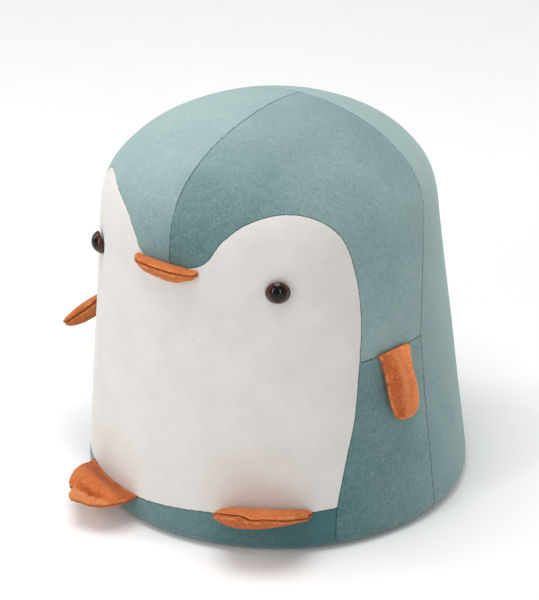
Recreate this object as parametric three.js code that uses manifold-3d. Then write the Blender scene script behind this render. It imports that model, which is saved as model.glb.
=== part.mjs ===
// Penguin-shaped upholstered pouf: a foam core on a plywood board, inside a sewn velvet cover with
// stuffed suede beak, wings and feet. Millimetres, +Z up. The penguin looks towards -Y, so its own
// left is +X.
// The origin is on the floor, below the middle of the base.
import * as THREE from "three";
import { mergeVertices } from "three/addons/utils/BufferGeometryUtils.js";
import Module from "manifold-3d";

const wasm = await Module();
wasm.setup();

// ---- Driving dimensions ---------------------------------------------------------------------

const HALF_WIDTH = 170; // body at the hem, across
const FRONT_DEPTH = 160; // hem, centre to front
const BACK_DEPTH = 158; // hem, centre to back
const HEIGHT = 336; // hem to crown
const HEM_RADIUS = 10; // roll of the cover under the board
const GLIDE_STAND = 2; // hem above the floor
const CORE_CENTRE = new THREE.Vector3(0, 0, 140); // point that the whole cover can be seen from

// How the body draws in towards the crown, seen along each direction. The taper is the share of its
// width lost over the height, the shoulder is the share of the height where the dome starts, and the
// power sets how late it closes.
const SIDE = { taper: 0.23, shoulder: 0.776, power: 2 };
const FRONT = { taper: 0.167, shoulder: 0.636, power: 5.2 };
const BACK = { taper: 0.048, shoulder: 0.722, power: 2 };

const COVER = 2.5; // velvet on its lining
const WADDING = 12;
const SEAM_GAP = 0.4; // between neighbouring cover panels
const SKEW = 0.05; // the cover sits a little askew: its features climb towards the penguin's left

const SIDE_SEAM = { left: 154.3, right: 150 }; // level seams that hold the wings
// Seam under the belly that holds the feet: its height on the left, on the right, and where it slopes.
const BELLY_FOOT = { left: 30, right: 26.5, slopeHalf: 30 };
const HEM_Z = 1.2; // lowest edge of the cover panels

// Outline of each half of the belly panel, from the notch over a lobe and down to the side seam: (x, z).
// The cover is turned a little on the body, so the right lobe reaches further round.
const BELLY_LOBES = {
  left: [
    [0, 249],
    [20, 249.5],
    [33, 255.5],
    [46, 274],
    [62, 287],
    [82, 291],
    [104, 283],
    [121, 265],
    [129, 234],
    [134, 190],
    [135.5, SIDE_SEAM.left],
  ],
  right: [
    [0, 249],
    [20, 249.5],
    [32, 255.5],
    [40, 268.5],
    [51.5, 281.5],
    [71.5, 291.5],
    [90, 296],
    [108, 292],
    [123, 274],
    [130.5, 242],
    [134.5, 190],
    [135.5, SIDE_SEAM.right],
  ],
};
// And on down to the panel's lower corner.
const BELLY_SIDES = {
  left: [
    [135.5, SIDE_SEAM.left],
    [135.5, 104],
    [132.5, 67],
    [129.5, BELLY_FOOT.left],
  ],
  right: [
    [135.5, SIDE_SEAM.right],
    [140, 104],
    [142.5, 67],
    [142, BELLY_FOOT.right],
  ],
};

const BOARD_INSET = 13;
const BOARD_Z = 0.4;
const BOARD_THICKNESS = 12;
const CLOTH_THICKNESS = 0.8;

const GLIDE = { radius: 11, x: 100, y: 96, screwRadius: 1.9, headRadius: 3.6, screwLength: 11.5 };

const EYE = { radius: 10.2, height: 7.2, backing: 1.6, shankRadius: 2.4, shankLength: 13 };
// Where each eye sits on the belly panel, and how many degrees it looks out to its side and down.
const EYE_SEATS = {
  left: { x: 87.4, z: 230.3, azimuth: 35, droop: 3 },
  right: { x: -101, z: 236, azimuth: -42, droop: 5 },
};
const EYE_STAND = 3.2; // middle of the eye's back above the cloth
const WASHER = { radius: 8.5, thickness: 1.2 };

const SKIN = 1.2; // suede
const RIM_GAP = 0.15; // from a flap's middle plane to each skin
const ROOT_STAND = 2.4; // a flap's root edge off the cover, where it flexes

// Stuffed flaps: rise is the bulge of the upper or outer face, sag that of the other one. Toe-in is
// the sideways share of a foot's direction, and lift its degrees above level.
const WING = { halfWidth: 17.5, length: 59, rise: 6, sag: 2.2, squareness: 3.4 };
const FOOT = { length: 40, rise: 7, sag: 6, squareness: 2.3 };
const FOOT_SEATS = {
  left: { innerX: 43, outerX: 116, toeIn: 0.28, lift: 24 },
  right: { innerX: 37, outerX: 115, toeIn: 0.18, lift: 2 },
};
const BEAK = { halfWidth: 31, length: 11, rise: 3.2, sag: 7.5, squareness: 2.2 };
const BEAK_SEAT = { x: -3, z: 250.5, slope: -0.08 };
const WING_Y = -41; // middle of a wing's root
const WING_LIFT = { left: 16, right: 46 }; // degrees from hanging straight down

const SAMPLES = { lobe: 13, bellyRows: 9, seam: 8, band: 2 };
const RADIAL = 28;
const RINGS = 9;

// ---- Materials ------------------------------------------------------------------------------

function standard(color, roughness, metalness = 0) {
  return new THREE.MeshStandardMaterial({ color, roughness, metalness });
}


const velvet = standard(0x86a4a2, 0.95);
const offWhite = standard(0xddd9d4, 0.95);
const suede = standard(0xd7783f, 0.9);
const padding = standard(0xf2f0ea, 1);
const foam = standard(0xf0e6c8, 1);
const plywood = standard(0xcfa873, 0.7);
const blackCloth = standard(0x17181a, 1);
const blackPlastic = standard(0x0c0c0d, 0.35);
const brownLens = standard(0x3a1c12, 0.08);
const steel = standard(0xb9bcc0, 0.35, 1);

const penguin = new THREE.Group();
penguin.position.z = GLIDE_STAND;

function add(name, geometry, material) {
  const mesh = new THREE.Mesh(geometry, material);
  mesh.name = name;
  penguin.add(mesh);
  return mesh;
}

// ---- Body surface ---------------------------------------------------------------------------

// Share of the hem's width or depth that is left at height z.
function profile(z, { taper, shoulder, power }) {
  const climb = Math.max(0, z - HEM_RADIUS) / HEIGHT;
  const dome = Math.max(0, (z / HEIGHT - shoulder) / (1 - shoulder));
  const tuck = Math.max(0, 1 - z / HEM_RADIUS);
  const roll = (HEM_RADIUS / HALF_WIDTH) * (1 - Math.sqrt(Math.max(0, 1 - tuck * tuck)));
  return (1 - taper * climb) * Math.sqrt(Math.max(0, 1 - dome ** power)) - roll;
}

const halfWidth = (z) => HALF_WIDTH * profile(z, SIDE);
const depth = (z, y) => (y < 0 ? FRONT_DEPTH * profile(z, FRONT) : BACK_DEPTH * profile(z, BACK));

function isInside({ x, y, z }) {
  if (z < 0 || z >= HEIGHT) return false;
  return (x / halfWidth(z)) ** 2 + (y / depth(z, y)) ** 2 < 1;
}

// The point where a ray from start leaves the body.
function cast(start, direction) {
  const ray = direction.clone().normalize();
  const at = (distance) => start.clone().addScaledVector(ray, distance);
  let near = 0;
  let far = 2 * HEIGHT;
  for (let step = 0; step < 40; step += 1) {
    const middle = (near + far) / 2;
    if (isInside(at(middle))) near = middle;
    else far = middle;
  }
  return at(near);
}

const project = (point) => cast(CORE_CENTRE, point.clone().sub(CORE_CENTRE));

function normalAt(point) {
  const out = point.clone().sub(CORE_CENTRE);
  const across = new THREE.Vector3(0, 0, 1).cross(out);
  if (across.length() < 1) across.set(0, 1, 0);
  across.normalize();
  const up = out.clone().cross(across).normalize();
  const nudge = (axis, amount) => project(point.clone().addScaledVector(axis, amount));
  const alongAcross = nudge(across, 0.5).sub(nudge(across, -0.5));
  const alongUp = nudge(up, 0.5).sub(nudge(up, -0.5));
  return alongAcross.cross(alongUp).normalize();
}

const offset = (point, distance) => point.clone().addScaledVector(normalAt(point), distance);

// The point of the front with the given x, at a height that includes the skew.
function onFront(x, z) {
  const height = z + SKEW * x;
  const y = -depth(height, -1) * Math.sqrt(Math.max(0, 1 - (x / halfWidth(height)) ** 2));
  return new THREE.Vector3(x, y, height);
}

// How far behind the middle the seam over the head runs, at height z: it leans back above the wings.
function crownSeamY(z) {
  const above = z - 135;
  return -12 + 0.17 * (above + Math.hypot(above, 30));
}

const belowBelly = (x) => {
  const half = BELLY_FOOT.slopeHalf;
  const share = Math.min(1, Math.max(0, (x + half) / (2 * half)));
  return onFront(x, mix(BELLY_FOOT.right, BELLY_FOOT.left, share));
};

// The point of the seam over the head at an angle from straight up, on the left or right half.
function onCrownSeam(angle, side) {
  const direction = new THREE.Vector3(side * Math.sin(angle), 0, Math.cos(angle));
  let near = 0;
  let far = 2 * HEIGHT;
  const at = (reach) => {
    const point = CORE_CENTRE.clone().addScaledVector(direction, reach);
    point.y = crownSeamY(point.z);
    return point;
  };
  for (let step = 0; step < 40; step += 1) {
    const middle = (near + far) / 2;
    if (isInside(at(middle))) near = middle;
    else far = middle;
  }
  return at(near);
}

// ---- Seams, as rows of points ---------------------------------------------------------------

const sample = (count, curve) => Array.from({ length: count + 1 }, (_, i) => curve(i / count));
const mix = (a, b, t) => a + (b - a) * t;

function outline(points, count, side) {
  const spline = new THREE.CatmullRomCurve3(points.map(([x, z]) => new THREE.Vector3(x, 0, z)));
  return sample(count, (t) => {
    const { x, z } = spline.getPointAt(t);
    return onFront(side * x, z);
  });
}

function seamsOf(name, side) {
  const lobe = outline(BELLY_LOBES[name], SAMPLES.lobe, side);
  const bellySide = outline(BELLY_SIDES[name], SAMPLES.bellyRows, side);
  const seamHeight = SIDE_SEAM[name] + SKEW * side * BELLY_SIDES[name][0][0];
  const seamAngle = Math.atan2(halfWidth(seamHeight), seamHeight - CORE_CENTRE.z);
  const crown = sample(SAMPLES.lobe, (t) => onCrownSeam(seamAngle * t, side));
  const join = crown.at(-1);
  const lowerCrown = sample(SAMPLES.bellyRows + SAMPLES.band, (t) => {
    const z = mix(join.z, HEM_Z, t);
    const y = mix(join.y, crownSeamY(HEM_Z), t);
    return new THREE.Vector3(side * halfWidth(z) * Math.sqrt(1 - (y / depth(z, y)) ** 2), y, z);
  });
  const wingSeam = sample(SAMPLES.seam, (t) => project(lobe.at(-1).clone().lerp(join, t)));
  const bandEnd = sample(SAMPLES.band, (t) => {
    const corner = bellySide.at(-1);
    return onFront(corner.x, mix(corner.z, HEM_Z, t) - SKEW * corner.x);
  });
  const sideHem = sample(SAMPLES.seam, (t) => hemPoint(bandEnd.at(-1), lowerCrown.at(-1), t));
  return { lobe, bellySide, crown, lowerCrown, wingSeam, bandEnd, sideHem };
}

// A point of the hem between two of its points, by the angle round the middle. Going through the back
// or the front, the angle always grows.
function hemPoint(from, to, t, through = false) {
  const angleOf = (point) => Math.atan2(point.y, point.x);
  const start = angleOf(from);
  let sweep = angleOf(to) - start;
  if (through && sweep < 0) sweep += 2 * Math.PI;
  const angle = start + sweep * t;
  return cast(new THREE.Vector3(0, 0, HEM_Z), new THREE.Vector3(Math.cos(angle), Math.sin(angle), 0));
}

const left = seamsOf("left", 1);
const right = seamsOf("right", -1);
const notch = left.lobe[0];
const crownJoin = left.crown[0];
const faceSeam = sample(SAMPLES.seam, (t) => {
  const angleOf = (point) => Math.atan2(point.y, point.z - CORE_CENTRE.z);
  const angle = mix(angleOf(crownJoin), angleOf(notch), t);
  return cast(CORE_CENTRE, new THREE.Vector3(0, Math.sin(angle), Math.cos(angle)));
});
faceSeam[0] = crownJoin;
faceSeam[SAMPLES.seam] = notch;

// ---- Cover panels ---------------------------------------------------------------------------

// The point at t of the arc between two points, round the middle of the body.
function arc(from, to, t) {
  const start = from.clone().sub(CORE_CENTRE);
  const end = to.clone().sub(CORE_CENTRE);
  const axis = start.clone().cross(end).normalize();
  const length = mix(start.length(), end.length(), t);
  return start.applyAxisAngle(axis, start.angleTo(end) * t).setLength(length).add(CORE_CENTRE);
}

// A grid of points between four seams: bottom and top run the same way, and so do start and end, which
// run from bottom to top.
function patch(bottom, top, start, end) {
  const columns = bottom.length - 1;
  const rows = start.length - 1;
  return start.map((startPoint, j) =>
    bottom.map((bottomPoint, i) => {
      if (j === 0) return bottomPoint.clone();
      if (j === rows) return top[i].clone();
      if (i === 0) return startPoint.clone();
      if (i === columns) return end[j].clone();
      const u = i / columns;
      const v = j / rows;
      const point = arc(bottomPoint, top[i], v);
      point.addScaledVector(startPoint, 1 - u).addScaledVector(arc(bottom[0], top[0], v), u - 1);
      point.addScaledVector(end[j], u).addScaledVector(arc(bottom[columns], top[columns], v), -u);
      return project(point);
    }),
  );
}

// A sheet's outer and inner grid, joined along the rim into one closed body.
function sheet(outer, inner) {
  const rows = outer.length;
  const columns = outer[0].length;
  const positions = [...outer.flat(), ...inner.flat()].flatMap((p) => [p.x, p.y, p.z]);
  const index = [];
  const id = (layer, j, i) => layer * rows * columns + j * columns + i;
  const quad = (a, b, c, d) => index.push(a, b, c, a, c, d);
  for (let j = 0; j + 1 < rows; j += 1) {
    for (let i = 0; i + 1 < columns; i += 1) {
      quad(id(0, j, i), id(0, j, i + 1), id(0, j + 1, i + 1), id(0, j + 1, i));
      quad(id(1, j, i), id(1, j + 1, i), id(1, j + 1, i + 1), id(1, j, i + 1));
    }
  }
  for (let i = 0; i + 1 < columns; i += 1) {
    quad(id(1, 0, i), id(1, 0, i + 1), id(0, 0, i + 1), id(0, 0, i));
    const last = rows - 1;
    quad(id(0, last, i), id(0, last, i + 1), id(1, last, i + 1), id(1, last, i));
  }
  for (let j = 0; j + 1 < rows; j += 1) {
    quad(id(0, j, 0), id(0, j + 1, 0), id(1, j + 1, 0), id(1, j, 0));
    const last = columns - 1;
    quad(id(1, j, last), id(1, j + 1, last), id(0, j + 1, last), id(0, j, last));
  }
  const geometry = new THREE.BufferGeometry();
  geometry.setAttribute("position", new THREE.Float32BufferAttribute(positions, 3));
  geometry.setIndex(index);
  return volumeOf(geometry) < 0 ? turnedOut(geometry) : geometry;
}

function volumeOf(geometry) {
  const position = geometry.getAttribute("position");
  const corner = (i) => new THREE.Vector3().fromBufferAttribute(position, geometry.index.getX(i));
  let volume = 0;
  for (let i = 0; i < geometry.index.count; i += 3) {
    volume += corner(i).dot(corner(i + 1).cross(corner(i + 2))) / 6;
  }
  return volume;
}

function turnedOut(geometry) {
  const index = [...geometry.index.array];
  for (let i = 0; i < index.length; i += 3) [index[i + 1], index[i + 2]] = [index[i + 2], index[i + 1]];
  geometry.setIndex(index);
  return geometry;
}

// Draws a panel's edges in by half the seam gap.
function trimmed(grid) {
  const rows = grid.length - 1;
  const columns = grid[0].length - 1;
  const step = (from, towards) => {
    const way = towards.clone().sub(from);
    return way.setLength(SEAM_GAP / 2);
  };
  return grid.map((row, j) =>
    row.map((point, i) => {
      const moved = point.clone();
      if (j === 0) moved.add(step(point, grid[1][i]));
      if (j === rows) moved.add(step(point, grid[rows - 1][i]));
      if (i === 0) moved.add(step(point, row[1]));
      if (i === columns) moved.add(step(point, row[columns - 1]));
      return moved;
    }),
  );
}

function panelGeometry(bottom, top, start, end) {
  const grid = patch(bottom, top, start, end);
  const lowered = grid.map((row) => row.map((point) => offset(point, -COVER)));
  return sheet(trimmed(grid), trimmed(lowered));
}

const joined = (first, second) => [...first, ...second.slice(1)];
const reversed = (points) => [...points].reverse();

for (const [side, seams] of Object.entries({ left, right })) {
  const face = panelGeometry(faceSeam, seams.wingSeam.toReversed(), seams.crown, seams.lobe);
  add(`face_panel_${side}`, face, velvet);
  const front = joined(seams.bellySide, seams.bandEnd);
  add(`side_panel_${side}`, panelGeometry(seams.wingSeam, seams.sideHem, front, seams.lowerCrown), velvet);
}

const bellyTop = joined(reversed(right.lobe), left.lobe);
const bellyBottom = sample(2 * SAMPLES.lobe, (t) => {
  const x = mix(-BELLY_SIDES.right.at(-1)[0], BELLY_SIDES.left.at(-1)[0], t);
  return belowBelly(x);
});
const hemArc = (from, to) => sample(2 * SAMPLES.lobe, (t) => hemPoint(from.at(-1), to.at(-1), t, true));
const bandHem = hemArc(right.bandEnd, left.bandEnd);
const backHem = hemArc(left.lowerCrown, right.lowerCrown);
const band = panelGeometry(bandHem, bellyBottom, reversed(right.bandEnd), reversed(left.bandEnd));
add("hem_band", band, velvet);
add(
  "back_panel",
  panelGeometry(
    backHem,
    joined(reversed(left.crown), right.crown),
    reversed(left.lowerCrown),
    reversed(right.lowerCrown),
  ),
  velvet,
);

// ---- Booleans -------------------------------------------------------------------------------

function solidOf(geometry) {
  const bare = geometry.clone();
  bare.deleteAttribute("normal");
  bare.deleteAttribute("uv");
  const merged = mergeVertices(bare, 1e-3);
  return new wasm.Manifold(
    new wasm.Mesh({
      numProp: 3,
      vertProperties: merged.getAttribute("position").array,
      triVerts: new Uint32Array(merged.index.array),
    }),
  );
}

function geometryOf(solid) {
  const { vertProperties, triVerts } = solid.getMesh();
  const geometry = new THREE.BufferGeometry();
  geometry.setAttribute("position", new THREE.BufferAttribute(vertProperties, 3));
  geometry.setIndex(new THREE.BufferAttribute(triVerts, 1));
  return geometry;
}

function cut(geometry, tools) {
  let solid = solidOf(geometry);
  for (const tool of tools) solid = solid.subtract(solidOf(tool));
  return geometryOf(solid);
}

// A cylinder between two points of a line.
function rod(origin, axis, from, to, radius, sides = 16) {
  const geometry = new THREE.CylinderGeometry(radius, radius, to - from, sides);
  geometry.translate(0, (from + to) / 2, 0);
  const turn = new THREE.Quaternion().setFromUnitVectors(new THREE.Vector3(0, 1, 0), axis);
  return geometry.applyQuaternion(turn).translate(origin.x, origin.y, origin.z);
}

// A turned piece about a line: the profile is radius and distance along the axis.
function turned(points, origin, axis, segments = 20) {
  const geometry = new THREE.LatheGeometry(
    points.map(([radius, along]) => new THREE.Vector2(radius, along)),
    segments,
  );
  const turn = new THREE.Quaternion().setFromUnitVectors(new THREE.Vector3(0, 1, 0), axis);
  return geometry.applyQuaternion(turn).translate(origin.x, origin.y, origin.z);
}

// ---- Eyes -----------------------------------------------------------------------------------

function eyeFrame({ x, z, azimuth, droop }) {
  const turn = THREE.MathUtils.degToRad(azimuth);
  const nod = THREE.MathUtils.degToRad(droop);
  const axis = new THREE.Vector3(Math.sin(turn), -Math.cos(turn), -Math.tan(nod)).normalize();
  return { origin: offset(onFront(x, z), EYE_STAND), axis };
}

const eyes = { left: eyeFrame(EYE_SEATS.left), right: eyeFrame(EYE_SEATS.right) };
const washerTop = -EYE.backing - EYE_STAND - COVER - 1.4;
for (const [side, { origin, axis }] of Object.entries(eyes)) {
  const bulge = (EYE.radius ** 2 + EYE.height ** 2) / (2 * EYE.height);
  const sweep = Math.asin(EYE.radius / bulge);
  const dome = sample(7, (t) => {
    const angle = mix(EYE.height > bulge ? Math.PI - sweep : sweep, 0, t);
    return [bulge * Math.sin(angle), EYE.height - bulge * (1 - Math.cos(angle))];
  });
  dome[7][0] = 0;
  add(`eye_${side}_lens`, turned([[0, 0.3], [EYE.radius, 0.3], ...dome.slice(1)], origin, axis), brownLens);
  const back = [
    [0, -EYE.backing - EYE.shankLength],
    [EYE.shankRadius, -EYE.backing - EYE.shankLength],
    [EYE.shankRadius, -EYE.backing],
    [EYE.radius - 0.4, -EYE.backing],
    [EYE.radius - 0.4, 0],
    [0, 0],
  ];
  add(`eye_${side}_back`, turned(back, origin, axis), blackPlastic);
  const bore = EYE.shankRadius + 0.3;
  const washer = [
    [bore, washerTop - WASHER.thickness],
    [WASHER.radius, washerTop - WASHER.thickness],
    [WASHER.radius, washerTop],
    [bore, washerTop],
    [bore, washerTop - WASHER.thickness],
  ];
  add(`eye_${side}_washer`, turned(washer, origin, axis), blackPlastic);
}

const eyeBores = (radius) =>
  Object.values(eyes).map(({ origin, axis }) => rod(origin, axis, -34, 4, radius));
const eyeWells = eyeBores(WASHER.radius + 2);
const bellySides = [reversed(right.bellySide), reversed(left.bellySide)];
const bellyGeometry = panelGeometry(bellyBottom, bellyTop, ...bellySides);
add("belly_panel", cut(bellyGeometry, eyeBores(EYE.shankRadius + 0.5)), offWhite);

// ---- Filling and base -----------------------------------------------------------------------

// The body surface drawn in by a distance, above a floor height, as rings from the bottom up to one
// crown point.
function dome(distance, floor) {
  const rings = sample(RINGS, (t) => {
    const z = mix(floor + distance * 0.2, HEIGHT, 1 - (1 - t) ** 2);
    return sample(RADIAL, (u) => {
      const angle = 2 * Math.PI * u;
      const middle = new THREE.Vector3(0, 0, Math.min(z, HEIGHT - 1));
      const edge = cast(middle, new THREE.Vector3(Math.cos(angle), Math.sin(angle), 0));
      return offset(edge, -distance);
    }).slice(0, -1);
  }).slice(0, -1);
  rings[0].forEach((point) => point.setZ(floor));
  return { rings, crown: new THREE.Vector3(0, 0, HEIGHT - distance) };
}

// Closed body from a dome, hollow when a second dome is given.
function domeSolid(outer, inner) {
  const positions = [];
  const index = [];
  const addDome = ({ rings, crown }, flip) => {
    const base = positions.length / 3;
    for (const point of rings.flat()) positions.push(point.x, point.y, point.z);
    positions.push(crown.x, crown.y, crown.z);
    const top = base + rings.length * RADIAL;
    const face = (a, b, c) => index.push(...(flip ? [a, c, b] : [a, b, c]));
    for (let i = 0; i < RADIAL; i += 1) {
      const next = (i + 1) % RADIAL;
      for (let j = 0; j + 1 < rings.length; j += 1) {
        const row = base + j * RADIAL;
        face(row + i, row + next, row + RADIAL + next);
        face(row + i, row + RADIAL + next, row + RADIAL + i);
      }
      const last = base + (rings.length - 1) * RADIAL;
      face(last + i, last + next, top);
    }
    return base;
  };
  const low = addDome(outer, false);
  if (inner) {
    const high = addDome(inner, true);
    for (let i = 0; i < RADIAL; i += 1) {
      const next = (i + 1) % RADIAL;
      index.push(low + next, low + i, high + i, low + next, high + i, high + next);
    }
  } else {
    const middle = positions.length / 3;
    positions.push(0, 0, outer.rings[0][0].z);
    for (let i = 0; i < RADIAL; i += 1) index.push(low + ((i + 1) % RADIAL), low + i, middle);
  }
  const geometry = new THREE.BufferGeometry();
  geometry.setAttribute("position", new THREE.Float32BufferAttribute(positions, 3));
  geometry.setIndex(index);
  return geometry;
}

const boardTop = BOARD_Z + BOARD_THICKNESS;
const fillingFloor = boardTop + 0.4;
const waddingOut = COVER + 4.5;
const waddingShell = domeSolid(dome(waddingOut, fillingFloor), dome(waddingOut + WADDING, fillingFloor));
add("wadding", cut(waddingShell, eyeWells), padding);
add("foam_core", cut(domeSolid(dome(waddingOut + WADDING + 0.5, fillingFloor)), eyeWells), foam);

// A disc with the base's outline, drawn in from the hem.
function baseDisc(inset, low, high) {
  const geometry = new THREE.CylinderGeometry(1, 1, high - low, 40);
  geometry.rotateX(Math.PI / 2);
  geometry.translate(0, 0, (low + high) / 2);
  return geometry.scale(HALF_WIDTH - inset, (FRONT_DEPTH + BACK_DEPTH) / 2 - inset, 1);
}

const UP = new THREE.Vector3(0, 0, 1);
const glidePlaces = {};
for (const [row, y] of [["front", -GLIDE.y], ["rear", GLIDE.y]]) {
  for (const [side, x] of [["left", GLIDE.x], ["right", -GLIDE.x]]) {
    glidePlaces[`${row}_${side}`] = new THREE.Vector3(x, y, 0);
  }
}
const screwBore = GLIDE.screwRadius + 0.3;
const screwHoles = Object.values(glidePlaces).map((place) => rod(place, UP, -5, 30, screwBore, 12));
add("base_board", cut(baseDisc(BOARD_INSET, BOARD_Z, boardTop), screwHoles), plywood);
const clothDisc = baseDisc(BOARD_INSET, BOARD_Z - 0.3 - CLOTH_THICKNESS, BOARD_Z - 0.3);
add("base_cloth", cut(clothDisc, screwHoles), blackCloth);

const glideTop = BOARD_Z - 0.6 - CLOTH_THICKNESS;
const screwSeat = -GLIDE_STAND + 0.6;
for (const [name, place] of Object.entries(glidePlaces)) {
  const bore = GLIDE.screwRadius + 0.3;
  const foot = [
    [bore, screwSeat],
    [GLIDE.headRadius + 0.3, screwSeat - 0.1],
    [GLIDE.headRadius + 0.3, -GLIDE_STAND],
    [GLIDE.radius - 0.4, -GLIDE_STAND],
    [GLIDE.radius, -GLIDE_STAND + 0.4],
    [GLIDE.radius, glideTop],
    [bore, glideTop],
    [bore, screwSeat],
  ];
  add(`glide_${name}`, turned(foot, place, UP, 20), blackPlastic);
  const screw = [
    [0, -GLIDE_STAND + 0.2],
    [GLIDE.headRadius, -GLIDE_STAND + 0.2],
    [GLIDE.headRadius, screwSeat - 0.4],
    [GLIDE.screwRadius, screwSeat - 0.3],
    [GLIDE.screwRadius, GLIDE.screwLength - 2],
    [0, GLIDE.screwLength],
  ];
  add(`glide_screw_${name}`, turned(screw, place, UP, 12), steel);
}

// ---- Stuffed flaps --------------------------------------------------------------------------

// A flap: root gives the point of its sewn edge at u from -1 to 1, reach the direction it grows in and
// up the side that its first face is on. Returns a function of u, v and height over the middle plane.
function flapSpace({ root, reach, up, length, squareness }) {
  return (u, v, height) => {
    const long = length * (1 - Math.abs(u) ** squareness) ** (1 / squareness);
    return root(u).addScaledVector(reach, v * long).addScaledVector(up, height);
  };
}

const FLAP_EDGE = 0.985; // the flap's side edges, as u
const swell = (u, v) => {
  const across = Math.sqrt(1 - (u / FLAP_EDGE) ** 2 * 0.98);
  return across * Math.sqrt(Math.sin(Math.PI * mix(0.05, 0.93, v ** 0.8)));
};
const crown = (u, v) => {
  const onRim = Math.abs(u) > FLAP_EDGE - 1e-6 || v < 1e-6 || v > 1 - 1e-6;
  return onRim ? 0 : swell(u, v);
};

function addFlap(name, faces, shape, columns, rows) {
  const place = flapSpace(shape);
  const grid = (heightAt, edge = 1, low = 0, high = 1) =>
    sample(rows, (v) =>
      sample(columns, (u) => {
        const across = mix(-FLAP_EDGE, FLAP_EDGE, u) * edge;
        const along = mix(low, high, v);
        return place(across, along, heightAt(across, along));
      }),
    );
  const skin = (sign, bulge) => {
    const inner = (u, v) => sign * (RIM_GAP + bulge * crown(u, v));
    const outer = (u, v) => inner(u, v) + sign * SKIN;
    return sheet(grid(outer), grid(inner));
  };
  add(`${name}_${faces[0]}`, skin(1, shape.rise), suede);
  add(`${name}_${faces[1]}`, skin(-1, shape.sag), suede);
  const pad = (sign, bulge) => (u, v) => sign * Math.max(0.1, bulge * swell(u, v) * 0.6 - 0.4);
  const half = (sign, bulge) => grid(pad(sign, bulge), 0.76, 0.14, 0.84);
  add(`${name}_filling`, sheet(half(1, shape.rise), half(-1, shape.sag)), padding);
}

const tilt = (level, degrees) => {
  const angle = THREE.MathUtils.degToRad(degrees);
  return level.clone().multiplyScalar(Math.cos(angle)).addScaledVector(UP, Math.sin(angle)).normalize();
};

function addWing(side, middle, along, hang) {
  const outward = hang.clone().cross(along);
  const facing = outward.dot(middle.clone().setZ(0)) < 0 ? outward.negate() : outward;
  const root = (u) => middle.clone().addScaledVector(along, u * WING.halfWidth);
  addFlap(`wing_${side}`, ["outer", "inner"], { ...WING, root, reach: hang, up: facing.normalize() }, 8, 7);
}

for (const [side, sign] of [["left", 1], ["right", -1]]) {
  // Wing: hangs from the level side seam.
  const seamX = HALF_WIDTH - 22;
  const height = SIDE_SEAM[side] + SKEW * sign * seamX;
  const wall = cast(new THREE.Vector3(0, WING_Y, height), new THREE.Vector3(sign, 0, 0));
  const wallNormal = normalAt(wall);
  const out = wallNormal.clone().setZ(0).normalize();
  const along = UP.clone().cross(out).multiplyScalar(sign);
  const hang = tilt(out, WING_LIFT[side] - 90);
  addWing(side, wall.clone().addScaledVector(out, ROOT_STAND), along, hang);

  // Foot: sticks out of the seam under the belly.
  const { innerX, outerX, toeIn, lift } = FOOT_SEATS[side];
  const footReach = tilt(new THREE.Vector3(sign * toeIn, -Math.sqrt(1 - toeIn ** 2), 0), lift);
  const rootOf = (u) => offset(belowBelly(sign * mix(innerX, outerX, (1 + u) / 2)), ROOT_STAND);
  const chord = rootOf(1).sub(rootOf(-1)).normalize();
  const footUp = footReach.clone().cross(chord).multiplyScalar(-sign).normalize();
  const shape = { ...FOOT, root: rootOf, reach: footReach, up: footUp.z < 0 ? footUp.negate() : footUp };
  addFlap(`foot_${side}`, ["top", "sole"], shape, 12, 6);
}

const beakRoot = (u) => {
  const x = BEAK_SEAT.x + u * BEAK.halfWidth;
  return offset(onFront(x, BEAK_SEAT.z + BEAK_SEAT.slope * x), ROOT_STAND - 1);
};
const beakReach = new THREE.Vector3(0, -1, 0);
addFlap("beak", ["upper", "lower"], { ...BEAK, root: beakRoot, reach: beakReach, up: UP.clone() }, 12, 5);

export default penguin;
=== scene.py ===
"""Looks for the penguin pouf: velvet cover panels, stuffed suede flaps, button eyes and the base.

Shapes are worked out in millimetres above the hem and placed in the row's frame, in metres, by to_frame().
"""

import math

import bpy
import numpy as np
from mathutils import Matrix, Vector, geometry, kdtree, noise


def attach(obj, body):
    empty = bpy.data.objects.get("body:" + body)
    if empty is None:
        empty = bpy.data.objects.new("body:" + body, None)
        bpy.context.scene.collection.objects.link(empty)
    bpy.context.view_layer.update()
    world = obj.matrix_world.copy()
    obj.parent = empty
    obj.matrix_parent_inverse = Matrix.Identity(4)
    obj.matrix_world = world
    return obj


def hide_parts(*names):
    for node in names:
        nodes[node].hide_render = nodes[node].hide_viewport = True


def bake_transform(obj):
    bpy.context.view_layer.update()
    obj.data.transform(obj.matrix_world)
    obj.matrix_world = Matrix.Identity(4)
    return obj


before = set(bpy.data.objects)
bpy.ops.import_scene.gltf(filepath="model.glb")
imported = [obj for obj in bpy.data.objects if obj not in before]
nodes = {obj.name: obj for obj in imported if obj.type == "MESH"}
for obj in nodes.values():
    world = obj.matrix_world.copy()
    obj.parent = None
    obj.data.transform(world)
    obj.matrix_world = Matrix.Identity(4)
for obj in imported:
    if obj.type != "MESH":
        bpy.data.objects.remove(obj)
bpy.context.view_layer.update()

MM = 0.001
STAND = 2.0  # hem above the floor

# ---- Camera, light and floor ---------------------------------------------------------------------

AIM = Vector((0, 0, 0.192))
LENS = 174.6
DISTANCE = 2.502
AZIMUTH = math.radians(35.42)
ELEVATION = math.radians(26.45)
ROLL = math.radians(-2.5)
DROP = math.radians(0.722)  # the view looks this far below its aim

level = Vector((math.cos(AZIMUTH), math.sin(AZIMUTH), 0))
back = Vector((
    math.sin(AZIMUTH) * math.cos(ELEVATION),
    -math.cos(AZIMUTH) * math.cos(ELEVATION),
    math.sin(ELEVATION),
))
rise = back.cross(level)
view_right = level * math.cos(ROLL) + rise * math.sin(ROLL)
view_up = rise * math.cos(ROLL) - level * math.sin(ROLL)
view_back = back * math.cos(DROP) + view_up * math.sin(DROP)

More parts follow.
